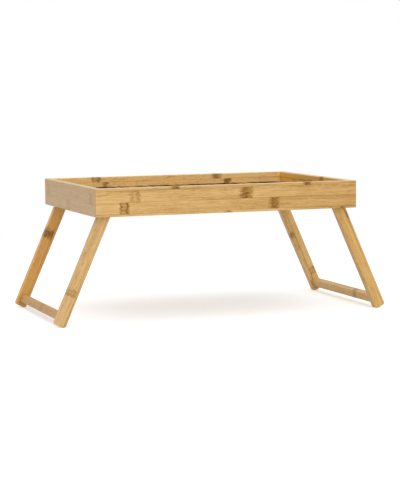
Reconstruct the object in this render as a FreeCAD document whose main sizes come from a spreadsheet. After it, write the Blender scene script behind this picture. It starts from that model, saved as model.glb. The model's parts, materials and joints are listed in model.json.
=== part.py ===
import FreeCAD, Part
import math
import os
import re
import Sketcher

# Folding bed tray table of laminated bamboo: a mitred rail frame round a thin floor panel, on two
# splayed leg frames that fold flat into the recess under the floor.
# +X runs along the long side, +Y across it to the back, +Z up. The origin is on the surface the feet
# stand on, under the middle of the tray. All sizes are in millimetres and degrees.

sizes = [
    # the mitred frame
    ("trayLength", 500, "outside length of the rail frame"),
    ("trayWidth", 340, "outside width of the rail frame"),
    ("railHeight", 50, "height of all four rails"),
    ("railThickness", 12, "thickness of all four rails"),
    ("railEdge", 1, "chamfer along the rails' long edges"),
    ("cornerRound", 2, "rounding of the frame's upright corners"),
    ("rimDepth", 19.5, "from the rails' top down to the floor"),
    # the floor panel and its groove
    ("floorThickness", 4, "thickness of the floor panel"),
    ("floorCorner", 3, "corner radius of the floor panel"),
    ("grooveDepth", 5, "depth of the groove that holds the floor"),
    ("grooveGap", 0.15, "play above and below the floor in its groove"),
    ("floorEndGap", 0.5, "room for the floor to swell at the groove's bottom"),
    # the loose splines in the mitres
    ("splineThickness", 3, "thickness of a mitre spline"),
    ("splineWidth", 9, "width of a mitre spline, across the mitre"),
    ("splineSet", 7.2, "from the outer faces in to the spline's middle"),
    ("splineFoot", 4, "solid wood below a spline's slot"),
    ("splineCover", 3, "solid wood between a spline's slot and the groove"),
    ("splineGap", 0.1, "glue gap round a spline"),
    # the cleats that carry the pivots
    ("cleatThickness", 9.5, "thickness of a cleat, across the tray"),
    ("cleatFoot", 2.3, "from the rails' bottom up to the cleat"),
    ("cleatEndGap", 0.5, "gap between a cleat's end and the end rail"),
    ("cleatEdge", 1, "chamfer along the cleat's inner edges"),
    ("screwSpacing", 320, "from one cleat screw to the other"),
    ("screwDiameter", 3.5, "shank of a cleat screw"),
    ("screwLength", 18, "length of a cleat screw"),
    ("screwHead", 7, "head of a cleat screw"),
    ("screwSink", 0.3, "from the cleat's face down to the screw's head"),
    ("screwGap", 0.1, "radial gap round a cleat screw"),
    ("crossReach", 2.1, "half the span of a screw's cross recess"),
    ("crossWidth", 1, "width of the cross recess's arms"),
    ("crossDepth", 1.4, "depth of the cross recess"),
    # the leg frames
    ("splayAngle", 24, "lean of the open legs from upright"),
    ("pivotHeight", 11, "from the rails' bottom up to the pivots"),
    ("legWidth", 21, "width of a leg, in the plane it swings in"),
    ("legThickness", 14, "thickness of a leg, across the tray"),
    ("legEdge", 1, "chamfer along a leg's edges"),
    ("footRound", 5, "corner radius of a leg's foot"),
    ("stopGap", 0.3, "gap from an open leg to the end rail's lower edge"),
    ("foldGap", 1.6, "gap from a folded foot to the tray's middle"),
    ("legPlay", 0.15, "gap on each side of a leg, to its washers"),
    ("stretcherHeight", 16, "section of a stretcher, along the leg"),
    ("stretcherThickness", 12, "section of a stretcher, across the leg"),
    ("stretcherEdge", 1, "chamfer along a stretcher's edges"),
    ("stretcherLift", 8, "from the foot's end up to the stretcher"),
    ("tenonLength", 8, "length of a stretcher's stub tenon"),
    ("tenonShoulder", 2, "shoulder on each side of a tenon"),
    ("tenonGap", 0.1, "glue gap round and behind a tenon"),
    # the pivot hardware
    ("boltDiameter", 6, "shank of a pivot bolt"),
    ("boltHead", 15, "head of a pivot bolt"),
    ("boltHeadHeight", 2.6, "height of a pivot bolt's head"),
    ("boltHeadEdge", 0.5, "chamfer of the bolt head's rim"),
    ("boltEngage", 8, "length of the bolt inside its insert nut"),
    ("socketWidth", 4, "hexagon socket across its flats"),
    ("socketDepth", 4, "depth of the hexagon socket"),
    ("pivotGap", 0.08, "radial running gap between bolt and leg"),
    ("threadGap", 0.05, "radial gap between bolt and insert nut"),
    ("insertDiameter", 9, "outside of an insert nut"),
    ("insertLength", 9, "length of an insert nut"),
    ("insertGap", 0.05, "radial gap round an insert nut"),
    ("washerDiameter", 16, "outside of a washer"),
    ("washerBore", 6.4, "hole of a washer"),
    ("washerThickness", 1.2, "thickness of a washer"),
]

# Sizes that follow from the ones above.
worked = {
    "grooveBottom": "railHeight - rimDepth - floorThickness - grooveGap",
    "floorHalfLength": "trayLength / 2 - railThickness + grooveDepth - floorEndGap",
    "floorHalfWidth": "trayWidth / 2 - railThickness + grooveDepth - floorEndGap",
    "splineHeight": "grooveBottom - splineCover - splineFoot",
    "cleatHalfLength": "trayLength / 2 - railThickness - cleatEndGap",
    "cleatHeight": "grooveBottom - cleatFoot",
    "legInset": "railThickness + cleatThickness + washerThickness + legPlay",
    # the open leg leans on the end rail's inner face, just above its chamfered lower edge
    "pivotFromEnd": "railThickness + (stopGap + legWidth / 2"
                    " + (pivotHeight - railEdge) * sin(splayAngle)) / cos(splayAngle)",
    "pivotX": "trayLength / 2 - pivotFromEnd",
    # the folded leg frames lie end to end and just clear the tray's middle
    "legReach": "pivotX - foldGap",
    # the rounded inner corner of each foot is what touches the ground
    "standHeight": "(legReach - footRound) * cos(splayAngle)"
                   " + (legWidth / 2 - footRound) * sin(splayAngle) + footRound - pivotHeight",
    "pivotZ": "standHeight + pivotHeight",
    "stretcherLow": "legReach - stretcherLift",
    "stretcherHalfLength": "trayWidth / 2 - legInset - legThickness",
    "headInset": "legInset + legThickness + legPlay + washerThickness",
    "shankLength": "2 * washerThickness + 2 * legPlay + legThickness + boltEngage",
}

doc = FreeCAD.newDocument("BedTrayTable")
sheet = doc.addObject("Spreadsheet::Sheet", "Sizes")
for row, (name, amount, note) in enumerate(sizes, start=1):
    sheet.set(f"A{row}", name)
    sheet.set(f"B{row}", str(amount))
    sheet.set(f"C{row}", note)
    sheet.setAlias(f"B{row}", name)
doc.recompute()

aliases = re.compile(r"\b(" + "|".join(name for name, amount, note in sizes) + r")\b")
parts = []
# In millimetres, what counts as nothing when places are compared.
tiny = 1e-4


def formula(text):
    """Spell out the worked sizes in an expression and point the rest at the sheet."""
    for name, meaning in reversed(list(worked.items())):
        text = re.sub(rf"\b{name}\b", f"({meaning})", text)
    return aliases.sub(r"Sizes.\1", text)


def number(text):
    """The present value of an expression in the named sizes."""
    return float(sheet.evalExpression(formula(text)))


def bind(item, prop, text):
    item.setExpression(prop, formula(text))


def place(item, x="0", y="0", z="0", turn="rotation(vector(0; 0; 1); 0)"):
    bind(item, "Placement", f"placement(vector({x}; {y}; {z}); {turn})")


def keep(item, label):
    """Mark an object as a sub-part that is written to its own file."""
    item.Label = label
    parts.append(item)
    return item


def turned(axis, angle):
    return f"rotation(vector({axis}); {angle})"


# Sketches and features

def sketch_on(body, role, name, level="0"):
    """A sketch on one of the body's own origin planes, moved along its normal to a level."""
    sketch = body.newObject("Sketcher::SketchObject", name)
    plane = next(item for item in body.Origin.OriginFeatures if item.Role == role)
    sketch.AttachmentSupport = [(plane, "")]
    sketch.MapMode = "FlatFace"
    bind(sketch, ".AttachmentOffset.Base.z", level)
    return sketch


def pin_point(sketch, edge, end, x=None, y=None):
    """Hold one point of a sketch at distances from the sketch's origin."""
    for kind, text in (("DistanceX", x), ("DistanceY", y)):
        if text is not None:
            index = sketch.addConstraint(Sketcher.Constraint(kind, -1, 1, edge, end, number(text)))
            bind(sketch, f"Constraints[{index}]", text)


def spot(x, y):
    return FreeCAD.Vector(number(x), number(y), 0)


def add_outline(sketch, corners):
    """A closed outline of straight edges through corners given as pairs of expressions."""
    spots = [spot(x, y) for x, y in corners]
    count = len(spots)
    first = sketch.GeometryCount
    for index in range(count):
        sketch.addGeometry(Part.LineSegment(spots[index], spots[(index + 1) % count]), False)
    for index, (x, y) in enumerate(corners):
        following = first + (index + 1) % count
        sketch.addConstraint(Sketcher.Constraint("Coincident", first + index, 2, following, 1))
        pin_point(sketch, first + index, 1, x, y)


def add_rectangle(sketch, x0, x1, y0, y1):
    add_outline(sketch, [(x0, y0), (x1, y0), (x1, y1), (x0, y1)])


def add_circle(sketch, x, y, radius):
    edge = sketch.addGeometry(Part.Circle(spot(x, y), FreeCAD.Vector(0, 0, 1), number(radius)), False)
    pin_point(sketch, edge, 3, x, y)
    index = sketch.addConstraint(Sketcher.Constraint("Radius", edge, number(radius)))
    bind(sketch, f"Constraints[{index}]", radius)


def add_arc(sketch, x, y, radius, start, end):
    """An arc about a pinned centre; its angles, in degrees, only say where it starts out."""
    circle = Part.Circle(spot(x, y), FreeCAD.Vector(0, 0, 1), number(radius))
    arc = Part.ArcOfCircle(circle, math.radians(start), math.radians(end))
    edge = sketch.addGeometry(arc, False)
    pin_point(sketch, edge, 3, x, y)
    return edge


def add_line(sketch, start, end):
    return sketch.addGeometry(Part.LineSegment(spot(*start), spot(*end)), False)


def join_ends(sketch, *pairs):
    for first, first_end, second, second_end in pairs:
        sketch.addConstraint(Sketcher.Constraint("Coincident", first, first_end, second, second_end))


def pad(body, sketch, length, reverse=False, both=False):
    feature = body.newObject("PartDesign::Pad", sketch.Name + "_pad")
    feature.Profile = sketch
    bind(feature, "Length", length)
    feature.Reversed = reverse
    feature.SideType = "Symmetric" if both else "One side"
    sketch.Visibility = False
    return feature


def pocket(body, sketch, depth=None, reverse=False, both=False):
    """Cut a sketch into the body to a depth, or right through it, and see that it did cut."""
    doc.recompute()
    before = body.Shape.Volume
    feature = body.newObject("PartDesign::Pocket", sketch.Name + "_pocket")
    feature.Profile = sketch
    feature.SideType = "Symmetric" if both else "One side"
    if depth is None:
        feature.Type = "ThroughAll"
    else:
        bind(feature, "Length", depth)
    feature.Reversed = reverse
    sketch.Visibility = False
    doc.recompute()
    if body.Shape.Volume > before - tiny:
        raise RuntimeError(f"{feature.Name} in {body.Name} cut nothing")
    return feature


def round_edges(body, chosen, radius, name):
    """Fillet the named edges of the body's last feature."""
    feature = body.newObject("PartDesign::Fillet", name)
    feature.Base = (body.Group[-2], chosen)
    bind(feature, "Radius", radius)
    doc.recompute()


def chamfer_edges(body, chosen, size, name):
    """Chamfer the named edges, or all the edges of the named faces, of the body's last feature."""
    feature = body.newObject("PartDesign::Chamfer", name)
    feature.Base = (body.Group[-2], chosen)
    bind(feature, "Size", size)
    doc.recompute()


def edges_where(body, test):
    doc.recompute()
    return [f"Edge{index}" for index, edge in enumerate(body.Tip.Shape.Edges, start=1) if test(edge)]


def span(shape, axis):
    """Where a shape starts and ends along an axis (0, 1 or 2)."""
    box = shape.BoundBox
    return [(box.XMin, box.XMax), (box.YMin, box.YMax), (box.ZMin, box.ZMax)][axis]


def faces_across(body, axis):
    """The flat faces at the body's two ends along an axis."""
    doc.recompute()
    ends = span(body.Tip.Shape, axis)
    chosen = []
    for index, face in enumerate(body.Tip.Shape.Faces, start=1):
        low, high = span(face, axis)
        if high - low < tiny and min(abs(low - end) for end in ends) < tiny:
            chosen.append(f"Face{index}")
    return chosen


def runs_along(edge, axis):
    """Whether an edge is straight and parallel to an axis."""
    ends = [vertex.Point for vertex in edge.Vertexes]
    if len(ends) != 2 or edge.Curve.TypeId != "Part::GeomLine":
        return False
    along = ends[1] - ends[0]
    return all(abs(along[other]) < tiny for other in range(3) if other != axis)


# The rail frame. Each rail is drawn with its outer face on Y = 0, its inside towards +Y and its
# bottom on Z = 0, and then turned to its own side of the tray.

def add_rail_plan(sketch, half):
    """The rail seen from above: square to the mitres inside, with two rounded outer corners."""
    shrink = "cornerRound * (1 - cos(45))"
    outer_left, outer_right = (f"-{half} + cornerRound", "0"), (f"{half} - cornerRound", "0")
    mitre_right, mitre_left = (f"{half} - {shrink}", shrink), (f"-{half} + {shrink}", shrink)
    inner_right = (f"{half} - railThickness", "railThickness")
    inner_left = (f"-{half} + railThickness", "railThickness")
    face = add_line(sketch, outer_left, outer_right)
    right_arc = add_arc(sketch, f"{half} - cornerRound", "cornerRound", "cornerRound", -90, -45)
    right = add_line(sketch, mitre_right, inner_right)
    inside = add_line(sketch, inner_right, inner_left)
    left = add_line(sketch, inner_left, mitre_left)
    left_arc = add_arc(sketch, f"-{half} + cornerRound", "cornerRound", "cornerRound", -135, -90)
    join_ends(sketch, (face, 2, right_arc, 1), (right_arc, 2, right, 1), (right, 2, inside, 1),
              (inside, 2, left, 1), (left, 2, left_arc, 1), (left_arc, 2, face, 1))
    pin_point(sketch, face, 1, *outer_left)
    pin_point(sketch, face, 2, *outer_right)
    pin_point(sketch, right, 1, y=shrink)
    pin_point(sketch, right, 2, *inner_right)
    pin_point(sketch, left, 1, *inner_left)
    pin_point(sketch, left, 2, y=shrink)


def add_spline_slot(sketch, half, side):
    """The slot of a mitre spline, square across the mitre at one end of a rail."""
    across = "(splineWidth / 2 + splineGap) * cos(45)"
    through = "(splineThickness / 2 + splineGap) * cos(45)"
    corners = []
    for u, v in ((1, 1), (1, -1), (-1, -1), (-1, 1)):
        inward = f"splineSet + {u} * {across} + {v} * {through}"
        corners.append((f"{side} * ({half} - ({inward}))", f"splineSet - {u} * {across} + {v} * {through}"))
    add_outline(sketch, corners)


def rail(label, half, x, y, angle, screwed):
    body = doc.addObject("PartDesign::Body", label)
    plan = sketch_on(body, "XY_Plane", label + "_plan")
    add_rail_plan(plan, half)
    pad(body, plan, "railHeight")

    def is_long_edge(edge):
        box = edge.BoundBox
        level = box.ZMax - box.ZMin < tiny
        at_rim = abs(box.ZMin) < tiny or abs(box.ZMin - number("railHeight")) < tiny
        mitre = abs((box.YMax - box.YMin) - (box.XMax - box.XMin)) < tiny
        return level and at_rim and not mitre
    chamfer_edges(body, edges_where(body, is_long_edge), "railEdge", label + "_edges")
    groove = sketch_on(body, "YZ_Plane", label + "_groove")
    add_rectangle(groove, "railThickness - grooveDepth", "railThickness + grooveDepth",
                  "grooveBottom", "railHeight - rimDepth + grooveGap")
    pocket(body, groove, both=True)
    slots = sketch_on(body, "XY_Plane", label + "_slots", "splineFoot - splineGap")
    add_spline_slot(slots, half, 1)
    add_spline_slot(slots, half, -1)
    pocket(body, slots, "splineHeight + 2 * splineGap", reverse=True)
    if screwed:
        holes = sketch_on(body, "XZ_Plane", label + "_pilot_holes", "-railThickness")
        for end in (-1, 1):
            add_circle(holes, f"{end} * screwSpacing / 2", "cleatFoot + cleatHeight / 2",
                       "screwDiameter / 2 + screwGap")
        pocket(body, holes, "screwLength - cleatThickness + screwSink + screwGap", reverse=True)
    place(body, x, y, "standHeight", turned("0; 0; 1", angle))
    return keep(body, label)


def floor_panel():
    body = doc.addObject("PartDesign::Body", "floor_panel")
    plan = sketch_on(body, "XY_Plane", "floor_plan")
    add_rectangle(plan, "-floorHalfLength", "floorHalfLength", "-floorHalfWidth", "floorHalfWidth")
    pad(body, plan, "floorThickness")
    corners = edges_where(body, lambda edge: runs_along(edge, 2))
    round_edges(body, corners, "floorCorner", "floor_corners")
    place(body, z="standHeight + railHeight - rimDepth - floorThickness")
    return keep(body, "floor_panel")


def corner_splines():
    """The four loose splines that lock the mitres from inside."""
    splines = []
    for side_x, side_y in ((-1, -1), (1, -1), (1, 1), (-1, 1)):
        spline = doc.addObject("Part::Box", "corner_spline")
        bind(spline, "Length", "splineWidth")
        bind(spline, "Width", "splineThickness")
        bind(spline, "Height", "splineHeight")
        centre = (f"{side_x} * (trayLength / 2 - splineSet)", f"{side_y} * (trayWidth / 2 - splineSet)",
                  "standHeight + splineFoot")
        lean = -45 * side_x * side_y
        bind(spline, "Placement",
             f"placement(vector({centre[0]}; {centre[1]}; {centre[2]}); {turned('0; 0; 1', lean)})"
             " * placement(vector(-splineWidth / 2; -splineThickness / 2; 0); rotation(vector(0; 0; 1); 0))")
        splines.append(spline)
    group = doc.addObject("Part::Compound", "corner_splines")
    group.Links = splines
    return keep(group, "corner_splines")


# The cleats, drawn with the face that meets the rail on Y = 0 and the bottom on Z = 0.

def cleat(label, side):
    body = doc.addObject("PartDesign::Body", label)
    profile = sketch_on(body, "YZ_Plane", label + "_profile")
    add_rectangle(profile, "0", "cleatThickness", "0", "cleatHeight")
    pad(body, profile, "2 * cleatHalfLength", both=True)

    def is_inner_edge(edge):
        return runs_along(edge, 0) and edge.BoundBox.YMin > number("cleatThickness") - tiny
    chamfer_edges(body, edges_where(body, is_inner_edge), "cleatEdge", label + "_edges")
    inserts = sketch_on(body, "XZ_Plane", label + "_insert_holes", "-cleatThickness")
    for end in (-1, 1):
        add_circle(inserts, f"{end} * pivotX", "pivotHeight - cleatFoot", "insertDiameter / 2 + insertGap")
    pocket(body, inserts, "insertLength + insertGap", reverse=True)
    holes = sketch_on(body, "XZ_Plane", label + "_screw_holes", "-cleatThickness")
    sinks = sketch_on(body, "XZ_Plane", label + "_countersinks", "-cleatThickness")
    for end in (-1, 1):
        middle = (f"{end} * screwSpacing / 2", "cleatHeight / 2")
        add_circle(holes, *middle, "screwDiameter / 2 + screwGap")
        add_circle(sinks, *middle, "screwHead / 2 + screwGap + screwSink")
    pocket(body, holes, reverse=True)
    cones = pocket(body, sinks, "(screwHead - screwDiameter) / 2 + screwSink", reverse=True)
    cones.TaperAngle = -45
    y = f"{side} * (trayWidth / 2 - railThickness)"
    place(body, y=y, z="standHeight + cleatFoot", turn=turned("0; 0; 1", 0 if side < 0 else 180))
    return keep(body, label)


# The leg frames. A leg is drawn with its pivot on the origin, its foot down at -Z, its outer face
# on Y = 0 and its inner face towards +Y.

def leg_turn(side_x, side_y):
    """The open leg's lean, after a half turn for the legs at the back."""
    lean = turned("0; 1; 0", "splayAngle" if side_x < 0 else "-splayAngle")
    return lean if side_y < 0 else f"{lean} * {turned('0; 0; 1', 180)}"


def add_leg_face(sketch):
    """Straight sides, a square foot and a full round over the pivot."""
    left_top, right_top = ("-legWidth / 2", "0"), ("legWidth / 2", "0")
    left_foot, right_foot = ("-legWidth / 2", "-legReach"), ("legWidth / 2", "-legReach")
    left = add_line(sketch, left_top, left_foot)
    foot = add_line(sketch, left_foot, right_foot)
    right = add_line(sketch, right_foot, right_top)
    crown = add_arc(sketch, "0", "0", "legWidth / 2", 0, 180)
    join_ends(sketch, (left, 2, foot, 1), (foot, 2, right, 1), (right, 2, crown, 1), (crown, 2, left, 1))
    pin_point(sketch, left, 1, y="0")
    pin_point(sketch, left, 2, *left_foot)
    pin_point(sketch, foot, 2, *right_foot)
    pin_point(sketch, right, 2, *right_top)


def leg(label, side_x, side_y):
    body = doc.addObject("PartDesign::Body", label)
    face = sketch_on(body, "XZ_Plane", label + "_face")
    add_leg_face(face)
    pad(body, face, "legThickness", reverse=True)

    def is_foot_corner(edge):
        return runs_along(edge, 1) and edge.BoundBox.ZMax < tiny - number("legReach")
    round_edges(body, edges_where(body, is_foot_corner), "footRound", label + "_foot")
    chamfer_edges(body, faces_across(body, 1), "legEdge", label + "_edges")
    bore = sketch_on(body, "XZ_Plane", label + "_pivot_hole")
    add_circle(bore, "0", "0", "boltDiameter / 2 + pivotGap")
    pocket(body, bore)
    mortise = sketch_on(body, "XZ_Plane", label + "_mortise", "-legThickness")
    half = "(stretcherThickness / 2 - tenonShoulder + tenonGap)"
    add_rectangle(mortise, f"-{half}", half, "-stretcherLow + tenonShoulder - tenonGap",
                  "-stretcherLow + stretcherHeight - tenonShoulder + tenonGap")
    pocket(body, mortise, "tenonLength + tenonGap", reverse=True)
    place(body, f"{side_x} * pivotX", f"{side_y} * (trayWidth / 2 - legInset)", "pivotZ",
          leg_turn(side_x, side_y))
    return keep(body, label)


def stretcher(label, side_x):
    """The bar between two legs, with a stub tenon on each end."""
    body = doc.addObject("PartDesign::Body", label)
    bar = sketch_on(body, "XZ_Plane", label + "_section")
    add_rectangle(bar, "-stretcherThickness / 2", "stretcherThickness / 2",
                  "-stretcherLow", "-stretcherLow + stretcherHeight")
    pad(body, bar, "2 * stretcherHalfLength", both=True)
    long_edges = edges_where(body, lambda edge: runs_along(edge, 1))
    chamfer_edges(body, long_edges, "stretcherEdge", label + "_edges")
    tenon = sketch_on(body, "XZ_Plane", label + "_tenons")
    add_rectangle(tenon, "-stretcherThickness / 2 + tenonShoulder", "stretcherThickness / 2 - tenonShoulder",
                  "-stretcherLow + tenonShoulder", "-stretcherLow + stretcherHeight - tenonShoulder")
    pad(body, tenon, "2 * (stretcherHalfLength + tenonLength)", both=True)
    place(body, f"{side_x} * pivotX", "0", "pivotZ", leg_turn(side_x, -1))
    return keep(body, label)


# The pivot hardware. Bolts, nuts, washers and screws are drawn along Z and laid along Y.

def lay_along(side_y):
    """Turn +Z to point at the tray's middle from the front (-1) or the back (1)."""
    return turned("1; 0; 0", 90 * side_y)


def revolve(body, sketch):
    feature = body.newObject("PartDesign::Revolution", sketch.Name + "_turned")
    feature.Profile = sketch
    feature.ReferenceAxis = (sketch, ["V_Axis"])
    feature.Angle = 360
    sketch.Visibility = False
    return feature


def pivot_bolt_shape():
    """A flat-headed bolt with a hexagon socket, without its thread; the head's underside is at Z = 0."""
    body = doc.addObject("PartDesign::Body", "pivot_bolt")
    section = sketch_on(body, "XZ_Plane", "pivot_bolt_section")
    add_outline(section, [("0", "boltHeadHeight"), ("boltHead / 2", "boltHeadHeight"), ("boltHead / 2", "0"),
                          ("boltDiameter / 2", "0"), ("boltDiameter / 2", "-shankLength"),
                          ("0", "-shankLength")])
    revolve(body, section)

    def is_rim(edge):
        box = edge.BoundBox
        at_top = abs(box.ZMin - number("boltHeadHeight")) < tiny and box.ZMax - box.ZMin < tiny
        return at_top and edge.Curve.TypeId == "Part::GeomCircle"
    chamfer_edges(body, edges_where(body, is_rim), "boltHeadEdge", "pivot_bolt_rim")
    socket = sketch_on(body, "XY_Plane", "pivot_bolt_socket", "boltHeadHeight")
    corner = "socketWidth / 2 / cos(30)"
    add_outline(socket, [(f"{corner} * cos({60 * turn})", f"{corner} * sin({60 * turn})")
                         for turn in range(6)])
    pocket(body, socket, "socketDepth")
    return body


def ring_shape(name, outside, inside, height):
    """A plain ring standing on Z = 0."""
    body = doc.addObject("PartDesign::Body", name)
    plan = sketch_on(body, "XY_Plane", name + "_plan")
    add_circle(plan, "0", "0", outside)
    add_circle(plan, "0", "0", inside)
    pad(body, plan, height)
    return body


def cleat_screw_shape():
    """A countersunk screw with a cross recess, without its thread; the head's top is at Z = 0."""
    body = doc.addObject("PartDesign::Body", "cleat_screw")
    section = sketch_on(body, "XZ_Plane", "cleat_screw_section")
    add_outline(section, [("0", "0"), ("screwHead / 2", "0"),
                          ("screwDiameter / 2", "-(screwHead - screwDiameter) / 2"),
                          ("screwDiameter / 2", "-screwLength"), ("0", "-screwLength")])
    revolve(body, section)
    cross = sketch_on(body, "XY_Plane", "cleat_screw_cross")
    arm, half = "crossReach", "crossWidth / 2"
    add_outline(cross, [(arm, f"-{half}"), (arm, half), (half, half), (half, arm), (f"-{half}", arm),
                        (f"-{half}", half), (f"-{arm}", half), (f"-{arm}", f"-{half}"),
                        (f"-{half}", f"-{half}"), (f"-{half}", f"-{arm}"), (half, f"-{arm}"),
                        (half, f"-{half}")])
    pocket(body, cross, "crossDepth")
    return body


def repeated(label, source, spots):
    """One sub-part of several like solids, each laid along Y at its own place."""
    copies = []
    for x, inset, z, side_y in spots:
        copy = doc.addObject("App::Link", label + "_copy")
        copy.LinkedObject = source
        place(copy, x, f"{side_y} * (trayWidth / 2 - ({inset}))", z, lay_along(side_y))
        copies.append(copy)
    group = doc.addObject("Part::Compound", label)
    group.Links = copies
    return keep(group, label)


leg_places = [("left", -1, "front", -1), ("left", -1, "back", 1),
              ("right", 1, "front", -1), ("right", 1, "back", 1)]
at_pivots = [(f"{side_x} * pivotX", side_y) for end, side_x, face, side_y in leg_places]

rail("front_rail", "trayLength / 2", "0", "-trayWidth / 2", 0, True)
rail("back_rail", "trayLength / 2", "0", "trayWidth / 2", 180, True)
rail("left_end_rail", "trayWidth / 2", "-trayLength / 2", "0", -90, False)
rail("right_end_rail", "trayWidth / 2", "trayLength / 2", "0", 90, False)
floor_panel()
corner_splines()
cleat("front_cleat", -1)
cleat("back_cleat", 1)
for end, side_x, face, side_y in leg_places:
    leg(f"{end}_{face}_leg", side_x, side_y)
stretcher("left_stretcher", -1)
stretcher("right_stretcher", 1)

pivot_bolt = pivot_bolt_shape()
insert_nut = ring_shape("insert_nut", "insertDiameter / 2", "boltDiameter / 2 + threadGap", "insertLength")
washer = ring_shape("washer", "washerDiameter / 2", "washerBore / 2", "washerThickness")
screw = cleat_screw_shape()
nut_inset = "railThickness + cleatThickness - insertLength"
spacer_inset = "railThickness + cleatThickness"
repeated("pivot_bolts", pivot_bolt, [(x, "headInset", "pivotZ", side) for x, side in at_pivots])
repeated("insert_nuts", insert_nut, [(x, nut_inset, "pivotZ", side) for x, side in at_pivots])
repeated("spacer_washers", washer, [(x, spacer_inset, "pivotZ", side) for x, side in at_pivots])
repeated("head_washers", washer, [(x, "headInset - washerThickness", "pivotZ", side)
                                  for x, side in at_pivots])
screw_inset = "railThickness + cleatThickness - screwSink"
screw_height = "standHeight + cleatFoot + cleatHeight / 2"
for face, side in (("front", -1), ("back", 1)):
    repeated(f"{face}_cleat_screws", screw,
             [(f"{end} * screwSpacing / 2", screw_inset, screw_height, side) for end in (-1, 1)])

# Build, check and write.

doc.recompute()
for item in doc.Objects:
    if "Invalid" in item.State or "Error" in item.State:
        raise RuntimeError(f"{item.Name} did not build: {item.State}")
for item in parts:
    if item.Shape.isNull() or not item.Shape.isValid():
        raise RuntimeError(f"{item.Label} has no valid shape")

os.makedirs("parts", exist_ok=True)
for item in parts:
    item.Shape.exportStep(f"parts/{item.Label}.step")
    print(f"{item.Label}: {len(item.Shape.Solids)} solids, {item.Shape.Volume:.1f} mm3")
for name in ("pivotX", "pivotZ", "standHeight", "legReach", "legInset", "headInset"):
    print(f"{name} = {number(name):.4f}")
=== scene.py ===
# A folding bed tray of laminated bamboo, dressed and lit as in a shop photograph.

import json
import math

import bpy
from mathutils import Matrix, Vector


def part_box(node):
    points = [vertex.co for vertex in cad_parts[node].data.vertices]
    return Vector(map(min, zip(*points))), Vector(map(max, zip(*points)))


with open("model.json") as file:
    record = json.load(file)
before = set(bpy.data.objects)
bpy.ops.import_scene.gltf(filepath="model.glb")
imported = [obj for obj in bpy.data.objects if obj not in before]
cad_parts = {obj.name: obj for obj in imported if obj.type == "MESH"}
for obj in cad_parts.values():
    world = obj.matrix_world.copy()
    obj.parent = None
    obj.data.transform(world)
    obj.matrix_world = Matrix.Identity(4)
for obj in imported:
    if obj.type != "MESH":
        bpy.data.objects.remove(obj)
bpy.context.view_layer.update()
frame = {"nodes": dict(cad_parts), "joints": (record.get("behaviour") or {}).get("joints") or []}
nodes = frame["nodes"]
millimetre = 0.001  # metres
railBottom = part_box("front_rail")[0].z
railTop = (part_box("front_rail")[1].z - railBottom) / millimetre  # mm above the rails' lower edge
railEdge = 1.0  # mm, the chamfer along the rails' long edges
print("frame:", len(nodes), "nodes")


# Materials

def linear(hexColour):
    channels = [int(hexColour[place:place + 2], 16) / 255 for place in (1, 3, 5)]
    return [c / 12.92 if c <= 0.04045 else ((c + 0.055) / 1.055) ** 2.4 for c in channels] + [1.0]


def addNode(tree, kind, settings={}, inputs={}):
    node = tree.nodes.new("ShaderNode" + kind)
    for name, value in settings.items():
        setattr(node, name, value)
    for socket, value in inputs.items():
        if isinstance(value, bpy.types.NodeSocket):
            tree.links.new(value, node.inputs[socket])
        else:
            node.inputs[socket].default_value = value
    return node


def newMaterial(name):
    material = bpy.data.materials.new(name)
    material.use_nodes = True
    material.node_tree.nodes.clear()
    return material, material.node_tree


def dress(piece, material):
    nodes[piece].data.materials.clear()
    nodes[piece].data.materials.append(material)


# Bamboo: culms split into strips about 20 mm wide, planed and glued edge to edge, sanded and rubbed
# with a thin satin oil. The eye sees fine fibres along the strips, strips that differ a little in
# tone, and a ragged brown band wherever a strip crosses one of the culm's knots.
bamboo = {
    "deepFibre": "#B78B4C",
    "midFibre": "#D3A969",
    "paleFibre": "#E6C183",
    "knot": "#704509",
    "knotHalo": "#B07F32",
    "glueLine": "#956933",
    "fleckColour": "#A5763B",
    "topHighlight": "#DCCBA8",      # painted highlight: the pale cream of the light that falls on a rail's top
    "topHighlightShare": 0.0,           # how much of that painted highlight is laid on
    "strip": 20.5,             # mm, width of a strip
    "streak": (150, 6),        # mm, length and width of the soft streaks
    "fibre": (24, 1.5),        # mm; real bundles are 0.4 mm wide, drawn coarser so that they show
    "fleck": (9, 1.8),         # mm; dark ends of bundles that the planing has cut, drawn coarser too
    "fleckNoise": (0.54, 0.66),  # between these a fleck grows from nothing to full
    "fleckLeast": 0.2,         # the share of them left on the palest streaks
    "flecks": 0.5,             # how strong they are where they are thickest
    "contrast": 1.0,           # of streaks and fibres
    "lift": 0.0,               # paler above 0, deeper below
    "drift": 0.0,              # how much paler the piece grows over the drift's length
    "driftLength": 250,        # mm
    "glueWidth": 1.0,          # mm; a real glue line is a fifth of that, drawn wider so that it shows
    "glueLeast": 0.15,         # the share of its darkness left on the palest streaks
    "knotBend": (12.5, 5),     # mm, length and width of the bends in a knot's lips
    "knotWander": 18,          # mm, how far the bends reach from one side to the other
    "knotGap": (5, 3.03),      # mm, length and width of the gaps in a knot's brown
    "knotGapNoise": (0.32, 0.64),  # below these there is a gap, above them full brown
    "knotFill": 1.1,           # how dark the full brown is
    "haloReach": 1.3,          # how much fuller the halo is than the knot
    "knotRelief": 0.8,         # how far a knot stands out, beside the fibres
    "roughness": 0.34,
    "specular": 0.2,           # below the usual 0.5: the oil is thin and the face is no lacquer
    "bumpStrength": 0.12,
    "bumpDepth": 0.6,          # mm, deeper than a sanded face's grain, so that it shows
    "glossSpread": 0.06,       # how far the roughness strays with the fibres
}
noiseMiddle = (0.42, 0.58)     # a noise is mostly between these
noiseWide = (0.3, 0.7)         # and nearly always between these

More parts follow.
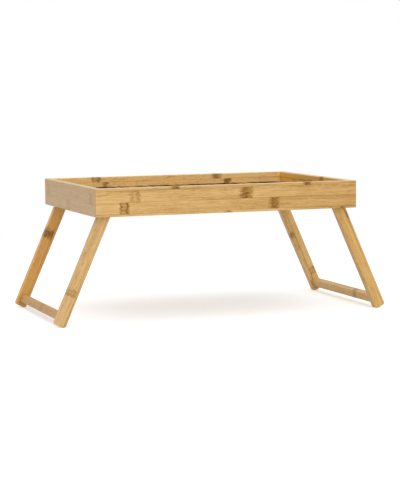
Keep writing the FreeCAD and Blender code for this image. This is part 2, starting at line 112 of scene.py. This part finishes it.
# How dark a knot is along the strip, as pairs of place and share, with its half length as 1.
knotShapes = {
    "lips": ((-1.4, 0), (-0.85, 0.8), (-0.4, 0.3), (0.2, 0.35), (0.7, 1.0), (1.3, 0)),
    "blot": ((-1.4, 0), (-0.7, 0.6), (-0.2, 1.0), (0.3, 0.8), (0.7, 0.7), (1.4, 0)),
}


def grainNoise(tree, own, shift, size, detail, roughness=0.5):
    # Noise drawn out along the grain, and shifted so that no two strips are alike.
    length, width = size
    scaled = addNode(tree, "VectorMath", {"operation": "MULTIPLY_ADD"}, {
        0: own, 1: (1 / length, 1 / width, 1 / width), 2: shift})
    noise = addNode(tree, "TexNoise", {}, {
        "Vector": scaled.outputs[0], "Scale": 1.0, "Detail": detail, "Roughness": roughness})
    return noise.outputs["Fac"]


def layOutStrips(tree, look):
    # The piece's own millimetres run along the grain, into the thickness and across the strips.
    where = addNode(tree, "TexCoord").outputs["Object"]
    own = addNode(tree, "Mapping", {"vector_type": "TEXTURE"}, {
        "Vector": where, "Location": look["origin"], "Scale": (millimetre, millimetre, millimetre),
        "Rotation": [math.radians(angle) for angle in look["turn"]]}).outputs[0]
    axes = addNode(tree, "SeparateXYZ", {}, {0: own}).outputs
    fromJoint = addNode(tree, "Math", {"operation": "SUBTRACT"}, {0: axes[2], 1: look["firstJoint"]})
    strips = addNode(tree, "Math", {"operation": "DIVIDE"}, {0: fromJoint.outputs[0], 1: look["strip"]})
    row = addNode(tree, "Math", {"operation": "FLOOR"}, {0: strips.outputs[0]})
    rowStep = 7.31  # sets the strips so far apart in the noise that each looks like another culm
    draw = addNode(tree, "Math", {"operation": "MULTIPLY_ADD"}, {
        0: row.outputs[0], 1: rowStep, 2: look["seed"]})
    shift = addNode(tree, "CombineXYZ", {}, {axis: draw.outputs[0] for axis in range(3)}).outputs[0]
    return {
        "own": own, "along": axes[0], "across": axes[2], "strips": strips.outputs[0],
        "row": row.outputs[0], "draw": draw.outputs[0], "shift": shift,
        "streaks": grainNoise(tree, own, shift, look["streak"], detail=3.0),
        "fibres": grainNoise(tree, own, shift, look["fibre"], detail=2.0),
    }


def fibreColour(tree, look, grain):
    # Streaks, fibres and the strip's own tone add up to one value, from 0 for deep to 1 for pale.
    # Each of them lies about 0.5, so half of every share comes off first.
    fibreShare = look["contrast"]
    streakShare = 0.9 * look["contrast"]
    stripShare = 0.2
    stripTone = addNode(tree, "TexWhiteNoise", {"noise_dimensions": "1D"}, {"W": grain["draw"]})
    tone = 0.5 + look["lift"] - (streakShare + fibreShare + stripShare) / 2
    parts = ((grain["streaks"], streakShare), (grain["fibres"], fibreShare),
             (stripTone.outputs["Value"], stripShare), (grain["along"], look["drift"] / look["driftLength"]))
    for value, share in parts:
        tone = addNode(tree, "Math", {"operation": "MULTIPLY_ADD"}, {
            0: value, 1: share, 2: tone}).outputs[0]
    colour = addNode(tree, "ValToRGB", {}, {0: tone})
    stops = colour.color_ramp.elements
    stops[0].position, stops[0].color = 0.05, linear(look["deepFibre"])
    stops[1].position, stops[1].color = 0.95, linear(look["paleFibre"])
    stops.new(0.5).color = linear(look["midFibre"])
    return colour.outputs[0]


def layFlecks(tree, look, grain, base):
    # Flecks lie thickest where the streaks are dark.
    low, high = noiseMiddle
    flecks = grainNoise(tree, grain["own"], grain["shift"], look["fleck"], detail=1.0)
    start, full = look["fleckNoise"]
    flecks = addNode(tree, "MapRange", {}, {0: flecks, 1: start, 2: full, 3: 0.0, 4: look["flecks"]})
    thick = addNode(tree, "MapRange", {}, {
        0: grain["streaks"], 1: low, 2: high, 3: 1.0, 4: look["fleckLeast"]})
    share = addNode(tree, "Math", {"operation": "MULTIPLY"}, {0: flecks.outputs[0], 1: thick.outputs[0]})
    return addNode(tree, "Mix", {"data_type": "RGBA"}, {
        0: share.outputs[0], 6: base, 7: linear(look["fleckColour"])}).outputs[2]


def layGlueLines(tree, look, grain, base):
    # A dark line between two strips, which fades where the streaks are pale.
    low, high = noiseMiddle
    place = addNode(tree, "Math", {"operation": "FRACT"}, {0: grain["strips"]})
    place = addNode(tree, "Math", {"operation": "SUBTRACT"}, {0: place.outputs[0], 1: 0.5})
    place = addNode(tree, "Math", {"operation": "ABSOLUTE"}, {0: place.outputs[0]})
    line = addNode(tree, "MapRange", {}, {
        0: place.outputs[0], 1: 0.5 - look["glueWidth"] / look["strip"], 2: 0.5, 3: 0.0, 4: 1.0})
    patchy = addNode(tree, "MapRange", {}, {
        0: grain["streaks"], 1: low, 2: high, 3: 1.0, 4: look["glueLeast"]})
    share = addNode(tree, "Math", {"operation": "MULTIPLY"}, {0: line.outputs[0], 1: patchy.outputs[0]})
    return addNode(tree, "Mix", {"data_type": "RGBA"}, {
        0: share.outputs[0], 6: base, 7: linear(look["glueLine"])}).outputs[2]


def layTopHighlight(tree, look, grain, base):
    # A painted highlight along the top of a rail and its chamfers, where the light from above falls.
    upper = addNode(tree, "Math", {"operation": "GREATER_THAN"}, {
        0: grain["across"], 1: railTop - railEdge})
    share = addNode(tree, "Math", {"operation": "MULTIPLY"}, {0: upper.outputs[0], 1: look["topHighlightShare"]})
    return addNode(tree, "Mix", {"data_type": "RGBA"}, {
        0: share.outputs[0], 6: base, 7: linear(look["topHighlight"])}).outputs[2]


def knotMask(tree, along, row, knots):
    # One ramp along each strip that has knots, kept to that strip.
    reach = 260  # mm to either side, just past the longest piece's ends
    total = 0.0
    for strip, places in knots.items():
        spread = addNode(tree, "MapRange", {}, {0: along, 1: -reach, 2: reach, 3: 0.0, 4: 1.0})
        ramp = addNode(tree, "ValToRGB", {}, {0: spread.outputs[0]})
        elements = ramp.color_ramp.elements
        elements[0].position, elements[0].color = 0.0, (0, 0, 0, 1)
        elements[1].position, elements[1].color = 1.0, (0, 0, 0, 1)
        for place, half, dark, shape in sorted(places):
            for offset, share in knotShapes[shape]:
                value = dark * share
                position = (place + offset * half + reach) / (2 * reach)
                elements.new(position).color = (value, value, value, 1)
        here = addNode(tree, "Math", {"operation": "COMPARE"}, {0: row, 1: strip, 2: 0.5})
        total = addNode(tree, "Math", {"operation": "MULTIPLY_ADD"}, {
            0: ramp.outputs[0], 1: here.outputs[0], 2: total}).outputs[0]
    return total


def layKnots(tree, look, grain, base):
    # Knots wander with the fibres, so the place along the strip is bent before it meets the ramps.
    own, shift = grain["own"], grain["shift"]
    wander = grainNoise(tree, own, shift, look["knotBend"], detail=4.0, roughness=0.6)
    bent = addNode(tree, "Math", {"operation": "MULTIPLY_ADD"}, {
        0: wander, 1: look["knotWander"], 2: -look["knotWander"] / 2})
    bent = addNode(tree, "Math", {"operation": "ADD"}, {0: bent.outputs[0], 1: grain["along"]})
    knots = knotMask(tree, bent.outputs[0], grain["row"], look["knots"])
    # the halo is whole and a little wider, the brown in it is broken by gaps
    gaps = grainNoise(tree, own, shift, look["knotGap"], detail=3.0)
    start, full = look["knotGapNoise"]
    broken = addNode(tree, "MapRange", {}, {
        0: gaps, 1: start, 2: full, 3: 0.0, 4: look["knotFill"]})
    brown = addNode(tree, "Math", {"operation": "MULTIPLY", "use_clamp": True}, {
        0: knots, 1: broken.outputs[0]})
    halo = addNode(tree, "Math", {"operation": "MULTIPLY", "use_clamp": True}, {
        0: knots, 1: look["haloReach"]})
    for share, colour in ((halo, look["knotHalo"]), (brown, look["knot"])):
        base = addNode(tree, "Mix", {"data_type": "RGBA"}, {
            0: share.outputs[0], 6: base, 7: linear(colour)}).outputs[2]
    return base, brown.outputs[0]


def bambooMaterial(name, piece):
    look = {**bamboo, **piece}
    material, tree = newMaterial(name)
    grain = layOutStrips(tree, look)
    base = fibreColour(tree, look, grain)
    for lay in (layFlecks, layGlueLines, layTopHighlight):
        base = lay(tree, look, grain, base)
    base, brown = layKnots(tree, look, grain, base)

    low, high = noiseWide
    relief = addNode(tree, "Math", {"operation": "MULTIPLY_ADD"}, {
        0: brown, 1: look["knotRelief"], 2: grain["fibres"]})
    bump = addNode(tree, "Bump", {}, {
        "Height": relief.outputs[0], "Strength": look["bumpStrength"],
        "Distance": look["bumpDepth"] * millimetre})
    gloss = addNode(tree, "MapRange", {}, {
        0: grain["fibres"], 1: low, 2: high,
        3: look["roughness"] + look["glossSpread"], 4: look["roughness"] - look["glossSpread"]})
    shader = addNode(tree, "BsdfPrincipled", {}, {
        "Base Color": base, "Roughness": gloss.outputs[0], "Normal": bump.outputs[0],
        "Specular IOR Level": look["specular"]})
    addNode(tree, "OutputMaterial", {}, {"Surface": shader.outputs[0]})
    return material


# In every piece below, firstJoint is the place of a glue line across the piece, in mm, and knots
# has for each strip, counted from that line, the knots' place and half length in mm, how dark they
# are, and their shape.

# Front rail. It faces the camera, so each knot has the place it has in the photograph.
frontRail = {
    "origin": (0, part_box("front_rail")[0].y, railBottom), "turn": (0, 0, 0), "firstJoint": 4.0, "seed": 1.0,
    # its top share lays the painted highlight along the rail's top
    "lift": -0.06, "drift": -0.12, "topHighlightShare": 0.5,
    "knots": {
        -1: [(222, 5, 0.9, "blot"), (-2.6, 6.5, 0.6, "blot")],
        0: [(-196.9, 7.5, 1.0, "lips"), (86.2, 8.5, 1.0, "blot")],
        1: [(-177, 8, 0.5, "lips"), (31.3, 10, 0.9, "blot")],
        2: [(-101.7, 7.5, 1.2, "blot"), (151.9, 7, 1.4, "blot")],
    },
}
dress("front_rail", bambooMaterial("bambooFrontRail", frontRail))

# Back rail. Its inner face shows above the floor. Its lift and its paler, more orange fibres and glue lines
# are painted light, which makes this shaded inner face as bright as the front, and its top share is the
# painted highlight on its top.
backRail = {
    "origin": (0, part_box("back_rail")[0].y, railBottom), "turn": (0, 0, 0), "firstJoint": 19.5, "seed": 2.0,
    "lift": 0.25, "topHighlightShare": 0.3,
    "midFibre": "#EAB96F", "paleFibre": "#F5CB83", "glueLine": "#C5965A",
    "knots": {
        0: [(-131.6, 5, 0.7, "blot"), (122.5, 6.4, 0.9, "blot")],
        1: [(-149.8, 7, 0.8, "lips"), (99, 8.5, 0.6, "blot")],
    },
}
dress("back_rail", bambooMaterial("bambooBackRail", backRail))

# End rails. The grain runs along Y, so their own axes are turned a quarter.
leftEnd = {
    "origin": (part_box("left_end_rail")[1].x, 0, railBottom), "turn": (0, 0, 90),
    # The left end's greyer fibres and halved contrast are a painted sheen, the white sheen its outward face
    # shows at a flat view; its top share is the painted highlight on its top.
    "firstJoint": 20.5, "seed": 3.0, "contrast": 0.5, "topHighlightShare": 0.25,
    "midFibre": "#BE9A68", "paleFibre": "#CDAB7C", "glueLine": "#B58E62",
    "knots": {
        -1: [(3.9, 12, 0.25, "blot")],
        0: [(-144.5, 9, 0.35, "lips"), (141.4, 9, 0.35, "lips")],
    },
}
dress("left_end_rail", bambooMaterial("bambooLeftEnd", leftEnd))
rightEnd = {
    "origin": (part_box("right_end_rail")[1].x, 0, railBottom), "turn": (0, 0, 90),
    # The right end's lift and more orange fibres are painted light on its inner face, which lies in shade;
    # its top share is the painted highlight on its top.
    "firstJoint": 19.0, "seed": 4.0, "lift": 0.1, "topHighlightShare": 0.3,
    "midFibre": "#E8B052", "paleFibre": "#EFBB5E",
    "knots": {
        0: [(88, 8, 0.3, "lips")],
        1: [(-40.8, 9, 0.6, "blot")],
    },
}
dress("right_end_rail", bambooMaterial("bambooRightEnd", rightEnd))
print("rails dressed")

# Legs. Along runs from the pivot to the foot, and across runs over the leg's width.
pivots = {joint["child"]: Vector(joint["pos_m"]) for joint in frame["joints"]}
splay = 24  # degrees, the open legs' lean
legs = {
    "left_front_leg": {
        "seed": 5.0, "firstJoint": -14.0, "midFibre": "#D3AB71", "paleFibre": "#E6C48D",
        "knots": {0: [(158.5, 5, 0.6, "lips")]}},
    # this leg's paler, more orange fibres are painted light on its face in the tray's shade
    "left_back_leg": {
        "seed": 6.0, "firstJoint": -14.0, "midFibre": "#DCA455", "paleFibre": "#E8B568", "drift": -0.1,
        "knots": {0: [(72, 8.5, 1.0, "blot")]}},
    "right_front_leg": {
        "seed": 7.0, "firstJoint": 6.5, "midFibre": "#D0A661", "paleFibre": "#E2BB77",
        "knots": {0: [(31.5, 7, 0.8, "blot")]}},
    # its lift is painted light, and its drift is painted shade: the leg grows darker towards its top, under
    # the tray
    "right_back_leg": {
        "seed": 8.0, "firstJoint": -2.5, "midFibre": "#D4A962", "lift": 0.1, "drift": 0.25,
        "knots": {-1: [(94.3, 5.5, 0.62, "blot")], 0: [(179.5, 6, 0.5, "lips")]}},
}
for name, look in legs.items():
    side = name.split("_")[0]
    pivot = pivots[side + "_leg_frame"]
    look["origin"] = (pivot.x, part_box(name)[0].y, pivot.z)
    look["turn"] = (0, 90 + splay if side == "left" else 90 - splay, 0)
    dress(name, bambooMaterial("bamboo_" + name, look))

# Stretchers. Their grain runs along Y, and they lean with the legs.
stretchers = {
    "left_stretcher": {
        "seed": 9.0, "firstJoint": -10.0,
        "deepFibre": "#A27236", "midFibre": "#BF8D42", "paleFibre": "#CFA158",
        "knots": {0: [(-18.2, 6, 0.7, "lips")]}},
    # its lift and paler fibres are painted light on its face, which is turned down into shade
    "right_stretcher": {
        "seed": 10.0, "firstJoint": -10.0, "lift": 0.3, "midFibre": "#D2A75E", "paleFibre": "#E4BD74",
        "knots": {0: [(-60.8, 6, 0.7, "lips")]}},
}
for name, look in stretchers.items():
    low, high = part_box(name)
    look["origin"] = ((low.x + high.x) / 2, 0, (low.z + high.z) / 2)
    look["turn"] = (splay if name.startswith("left") else -splay, 0, 90)
    dress(name, bambooMaterial("bamboo_" + name, look))

# Cleats and splines. Offcuts of the same stock. The cleats show only from below, the splines not at all.
hidden = {
    "front_cleat": {"seed": 11.0, "knots": {0: [(-60, 8, 0.8, "lips"), (190, 8, 0.7, "blot")]}},
    "back_cleat": {"seed": 12.0, "knots": {0: [(40, 8, 0.8, "blot"), (-200, 8, 0.7, "lips")]}},
    "corner_splines": {"seed": 13.0, "knots": {0: [(0, 4, 0.1, "blot")]}},
}
for name, look in hidden.items():
    look.update(origin=(0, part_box(name)[0].y, railBottom), turn=(0, 0, 0), lift=-0.05, firstJoint=2.0)
    dress(name, bambooMaterial("bamboo_" + name, look))
print("legs, stretchers and cleats dressed")


# Floor panel: thin board faced on top with a dark brown melamine laminate, printed in streaks that
# run from front to back. The eye sees near-black, brown and straw streaks, dull, with no open grain,
# and from below the plain pale board.
floorLaminate = {
    "dark": "#341F00",
    "brown": "#593A0A",
    "pale": "#C0975D",
    "stops": (0.43, 0.51, 0.61),  # where on the streaks' noise the three lie
    "board": "#C39F6C",
    "streak": (5, 220),           # mm, width and length of the printed streaks
    "mottle": 16.7,               # mm, the board's cloudy patches
    "mottleShades": (0.88, 1.06), # its colour's value in the deepest and the palest
    "facing": 0.4,                # mm, how far down from the top the laminate's colour goes
    "roughness": 0.6,
    "specular": 0.0,              # no gloss, so that the dark line stays dark at a flat view
    "glossSpread": 0.05,
    "bumpStrength": 0.05,
    "bumpDepth": 0.3,             # mm
}


def laminateMaterial(look):
    material, tree = newMaterial("brownMelamineLaminate")
    where = addNode(tree, "TexCoord").outputs["Object"]
    low, high = noiseWide
    width, length = [size * millimetre for size in look["streak"]]
    stretched = addNode(tree, "VectorMath", {"operation": "MULTIPLY"}, {
        0: where, 1: (1 / width, 1 / length, 1 / width)})
    streaks = addNode(tree, "TexNoise", {}, {"Vector": stretched.outputs[0], "Scale": 1.0, "Detail": 3.0})
    printed = addNode(tree, "ValToRGB", {}, {0: streaks.outputs["Fac"]})
    first, middle, last = look["stops"]
    stops = printed.color_ramp.elements
    stops[0].position, stops[0].color = first, linear(look["dark"])
    stops[1].position, stops[1].color = last, linear(look["pale"])
    stops.new(middle).color = linear(look["brown"])

    # below the printed face, a cloudy board
    cloud = addNode(tree, "TexNoise", {}, {
        "Vector": where, "Scale": 1 / (look["mottle"] * millimetre), "Detail": 4.0})
    deepest, palest = look["mottleShades"]
    shade = addNode(tree, "MapRange", {}, {
        0: cloud.outputs["Fac"], 1: low, 2: high, 3: deepest, 4: palest})
    board = addNode(tree, "HueSaturation", {}, {"Value": shade.outputs[0], "Color": linear(look["board"])})
    height = addNode(tree, "SeparateXYZ", {}, {0: where}).outputs[2]
    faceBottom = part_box("floor_panel")[1].z - look["facing"] * millimetre
    faced = addNode(tree, "Math", {"operation": "GREATER_THAN"}, {0: height, 1: faceBottom})
    colour = addNode(tree, "Mix", {"data_type": "RGBA"}, {
        0: faced.outputs[0], 6: board.outputs[0], 7: printed.outputs[0]})

    gloss = addNode(tree, "MapRange", {}, {
        0: streaks.outputs["Fac"], 1: low, 2: high,
        3: look["roughness"] + look["glossSpread"], 4: look["roughness"] - look["glossSpread"]})
    bump = addNode(tree, "Bump", {}, {
        "Height": streaks.outputs["Fac"], "Strength": look["bumpStrength"],
        "Distance": look["bumpDepth"] * millimetre})
    shader = addNode(tree, "BsdfPrincipled", {}, {
        "Base Color": colour.outputs[2], "Roughness": gloss.outputs[0], "Normal": bump.outputs[0],
        "Specular IOR Level": look["specular"]})
    addNode(tree, "OutputMaterial", {}, {"Surface": shader.outputs[0]})
    return material


dress("floor_panel", laminateMaterial(floorLaminate))


# Hardware: bright zinc-plated steel bolts, washers and screws, and turned brass insert nuts. The
# eye sees a cool grey with faint turning marks, and a warmer yellow in the inserts.
metals = {
    "zincPlatedSteel": {
        "pale": "#D3D4D2", "deep": "#A9ABAC", "roughness": 0.3,
        "pieces": ["pivot_bolts", "spacer_washers", "head_washers", "front_cleat_screws",
                   "back_cleat_screws"]},
    "turnedBrass": {"pale": "#D8B46A", "deep": "#A98440", "roughness": 0.34, "pieces": ["insert_nuts"]},
}
metalFinish = {
    "cloud": 2.86,          # mm, patches of paler and deeper plating
    "mark": (3.33, 0.286),  # mm, length and spacing of the turning marks, drawn coarser than real
    "glossSpread": 0.08,
    "bumpStrength": 0.08,
    "bumpDepth": 0.1,       # mm
}


def metalMaterial(name, look):
    material, tree = newMaterial(name)
    where = addNode(tree, "TexCoord").outputs["Object"]
    low, high = noiseWide
    cloud = addNode(tree, "TexNoise", {}, {
        "Vector": where, "Scale": 1 / (look["cloud"] * millimetre), "Detail": 3.0})
    length, spacing = [size * millimetre for size in look["mark"]]
    marks = addNode(tree, "VectorMath", {"operation": "MULTIPLY"}, {
        0: where, 1: (1 / length, 1 / spacing, 1 / length)})
    marks = addNode(tree, "TexNoise", {}, {"Vector": marks.outputs[0], "Scale": 1.0, "Detail": 2.0})
    colour = addNode(tree, "Mix", {"data_type": "RGBA"}, {
        0: cloud.outputs["Fac"], 6: linear(look["deep"]), 7: linear(look["pale"])})
    gloss = addNode(tree, "MapRange", {}, {
        0: marks.outputs["Fac"], 1: low, 2: high,
        3: look["roughness"] - look["glossSpread"], 4: look["roughness"] + look["glossSpread"]})
    bump = addNode(tree, "Bump", {}, {
        "Height": marks.outputs["Fac"], "Strength": look["bumpStrength"],
        "Distance": look["bumpDepth"] * millimetre})
    shader = addNode(tree, "BsdfPrincipled", {}, {
        "Base Color": colour.outputs[2], "Metallic": 1.0, "Roughness": gloss.outputs[0],
        "Normal": bump.outputs[0]})
    addNode(tree, "OutputMaterial", {}, {"Surface": shader.outputs[0]})
    return material


for name, look in metals.items():
    metal = metalMaterial(name, {**metalFinish, **look})
    for piece in look["pieces"]:
        dress(piece, metal)
print("floor and hardware dressed")


# Studio: a white sweep that keeps the tray's shadow, a white surround, and soft lamps.
studio = {
    "floor": "#E4E4E4",
    "floorSize": 60,       # metres, from one side to the other
    "floorGlow": 0.47,     # what the camera sees on top of the floor's own light
    "fade": (0.7, 1.6),    # metres from the middle, where the floor turns plain white
    "surround": 0.58,      # strength of the surround as a light
    "lamps": [             # places and sizes in metres, powers in watts
        {"name": "overhead", "place": (-0.2, -0.4, 2.2), "size": 3.0, "power": 30},
        {"name": "front", "place": (0.3, -2.6, 0.7), "size": 1.8, "power": 21},
        {"name": "left", "place": (-2.6, -0.4, 0.4), "size": 1.6, "power": 7},
    ],
}


def seenRays(tree):
    # camera, glossy and transmission rays see the white surround
    path = addNode(tree, "LightPath").outputs
    seen = path["Is Camera Ray"]
    for ray in ("Is Glossy Ray", "Is Transmission Ray"):
        seen = addNode(tree, "Math", {"operation": "MAXIMUM"}, {0: seen, 1: path[ray]}).outputs[0]
    return seen


def floorMaterial(look):
    material, tree = newMaterial("paintedStudioFloor")
    seen = seenRays(tree)
    near, far = look["fade"]
    where = addNode(tree, "TexCoord").outputs["Object"]
    distance = addNode(tree, "VectorMath", {"operation": "LENGTH"}, {0: where}).outputs["Value"]
    fade = addNode(tree, "MapRange", {"interpolation_type": "SMOOTHSTEP"}, {
        0: distance, 1: near, 2: far, 3: 0.0, 4: 1.0})
    fade = addNode(tree, "Math", {"operation": "MULTIPLY"}, {0: fade.outputs[0], 1: seen})
    paint = addNode(tree, "BsdfDiffuse", {}, {"Color": linear(look["floor"])})
    glow = addNode(tree, "Math", {"operation": "MULTIPLY"}, {0: seen, 1: look["floorGlow"]})
    glow = addNode(tree, "Emission", {}, {"Strength": glow.outputs[0]})
    lit = addNode(tree, "AddShader", {}, {0: paint.outputs[0], 1: glow.outputs[0]})
    white = addNode(tree, "Emission", {}, {"Strength": 1.0})
    both = addNode(tree, "MixShader", {}, {0: fade.outputs[0], 1: lit.outputs[0], 2: white.outputs[0]})
    addNode(tree, "OutputMaterial", {}, {"Surface": both.outputs[0]})
    return material


def buildFloor(look):
    half = look["floorSize"] / 2
    mesh = bpy.data.meshes.new("studioFloor")
    corners = [(-half, -half, 0), (half, -half, 0), (half, half, 0), (-half, half, 0)]
    mesh.from_pydata(corners, [], [(0, 1, 2, 3)])
    mesh.materials.append(floorMaterial(look))
    floor = bpy.data.objects.new("studioFloor", mesh)
    bpy.context.scene.collection.objects.link(floor)


def buildSurround(look):
    world = bpy.data.worlds.new("studioSurround")
    bpy.context.scene.world = world
    world.use_nodes = True
    tree = world.node_tree
    tree.nodes.clear()
    strength = addNode(tree, "MapRange", {}, {0: seenRays(tree), 3: look["surround"], 4: 1.0})
    background = addNode(tree, "Background", {}, {"Color": (1, 1, 1, 1), "Strength": strength.outputs[0]})
    addNode(tree, "OutputWorld", {}, {"Surface": background.outputs[0]})


def buildLamps(look):
    target = Vector((0, 0, railBottom))
    for lamp in look["lamps"]:
        light = bpy.data.lights.new(lamp["name"] + "Softbox", "AREA")
        light.energy = lamp["power"]
        light.size = lamp["size"]
        holder = bpy.data.objects.new(light.name, light)
        holder.location = lamp["place"]
        holder.rotation_euler = (target - holder.location).to_track_quat("-Z", "Y").to_euler()
        bpy.context.scene.collection.objects.link(holder)


buildFloor(studio)
buildSurround(studio)
buildLamps(studio)
bpy.context.scene.view_settings.view_transform = "Standard"
print("studio lit")


# Camera, as worked out from the photograph's edges.
camera = {
    "place": (-1.04523, -2.84547, 0.23632),  # metres, from the middle of the rails' lower edges
    "yaw": 20.2602,      # degrees to the right of the +Y axis
    "pitch": 6.0274,     # degrees downwards
    "roll": -0.5316,     # degrees about the line of sight
    "focalPixels": 1612, # focal length, in pixels of the photograph
    "imageHeight": 500,  # pixels
    "sensor": 36,        # mm
    "farEnd": 100,       # metres, past the floor that shows
}


def buildCamera(look):
    yaw, pitch, roll = [math.radians(look[name]) for name in ("yaw", "pitch", "roll")]
    ahead = Vector((math.sin(yaw) * math.cos(pitch), math.cos(yaw) * math.cos(pitch), -math.sin(pitch)))
    right = Vector((math.cos(yaw), -math.sin(yaw), 0))
    up = right.cross(ahead)
    right, up = math.cos(roll) * right + math.sin(roll) * up, math.cos(roll) * up - math.sin(roll) * right
    lens = bpy.data.cameras.new("photoCamera")
    lens.sensor_width = look["sensor"]
    lens.lens = look["sensor"] * look["focalPixels"] / look["imageHeight"]
    lens.clip_end = look["farEnd"]
    holder = bpy.data.objects.new("photoCamera", lens)
    turn = Matrix((right, up, -ahead)).transposed().to_4x4()
    holder.matrix_world = Matrix.Translation(Vector(look["place"]) + Vector((0, 0, railBottom))) @ turn
    bpy.context.scene.collection.objects.link(holder)
    bpy.context.scene.camera = holder


buildCamera(camera)
print("camera set")
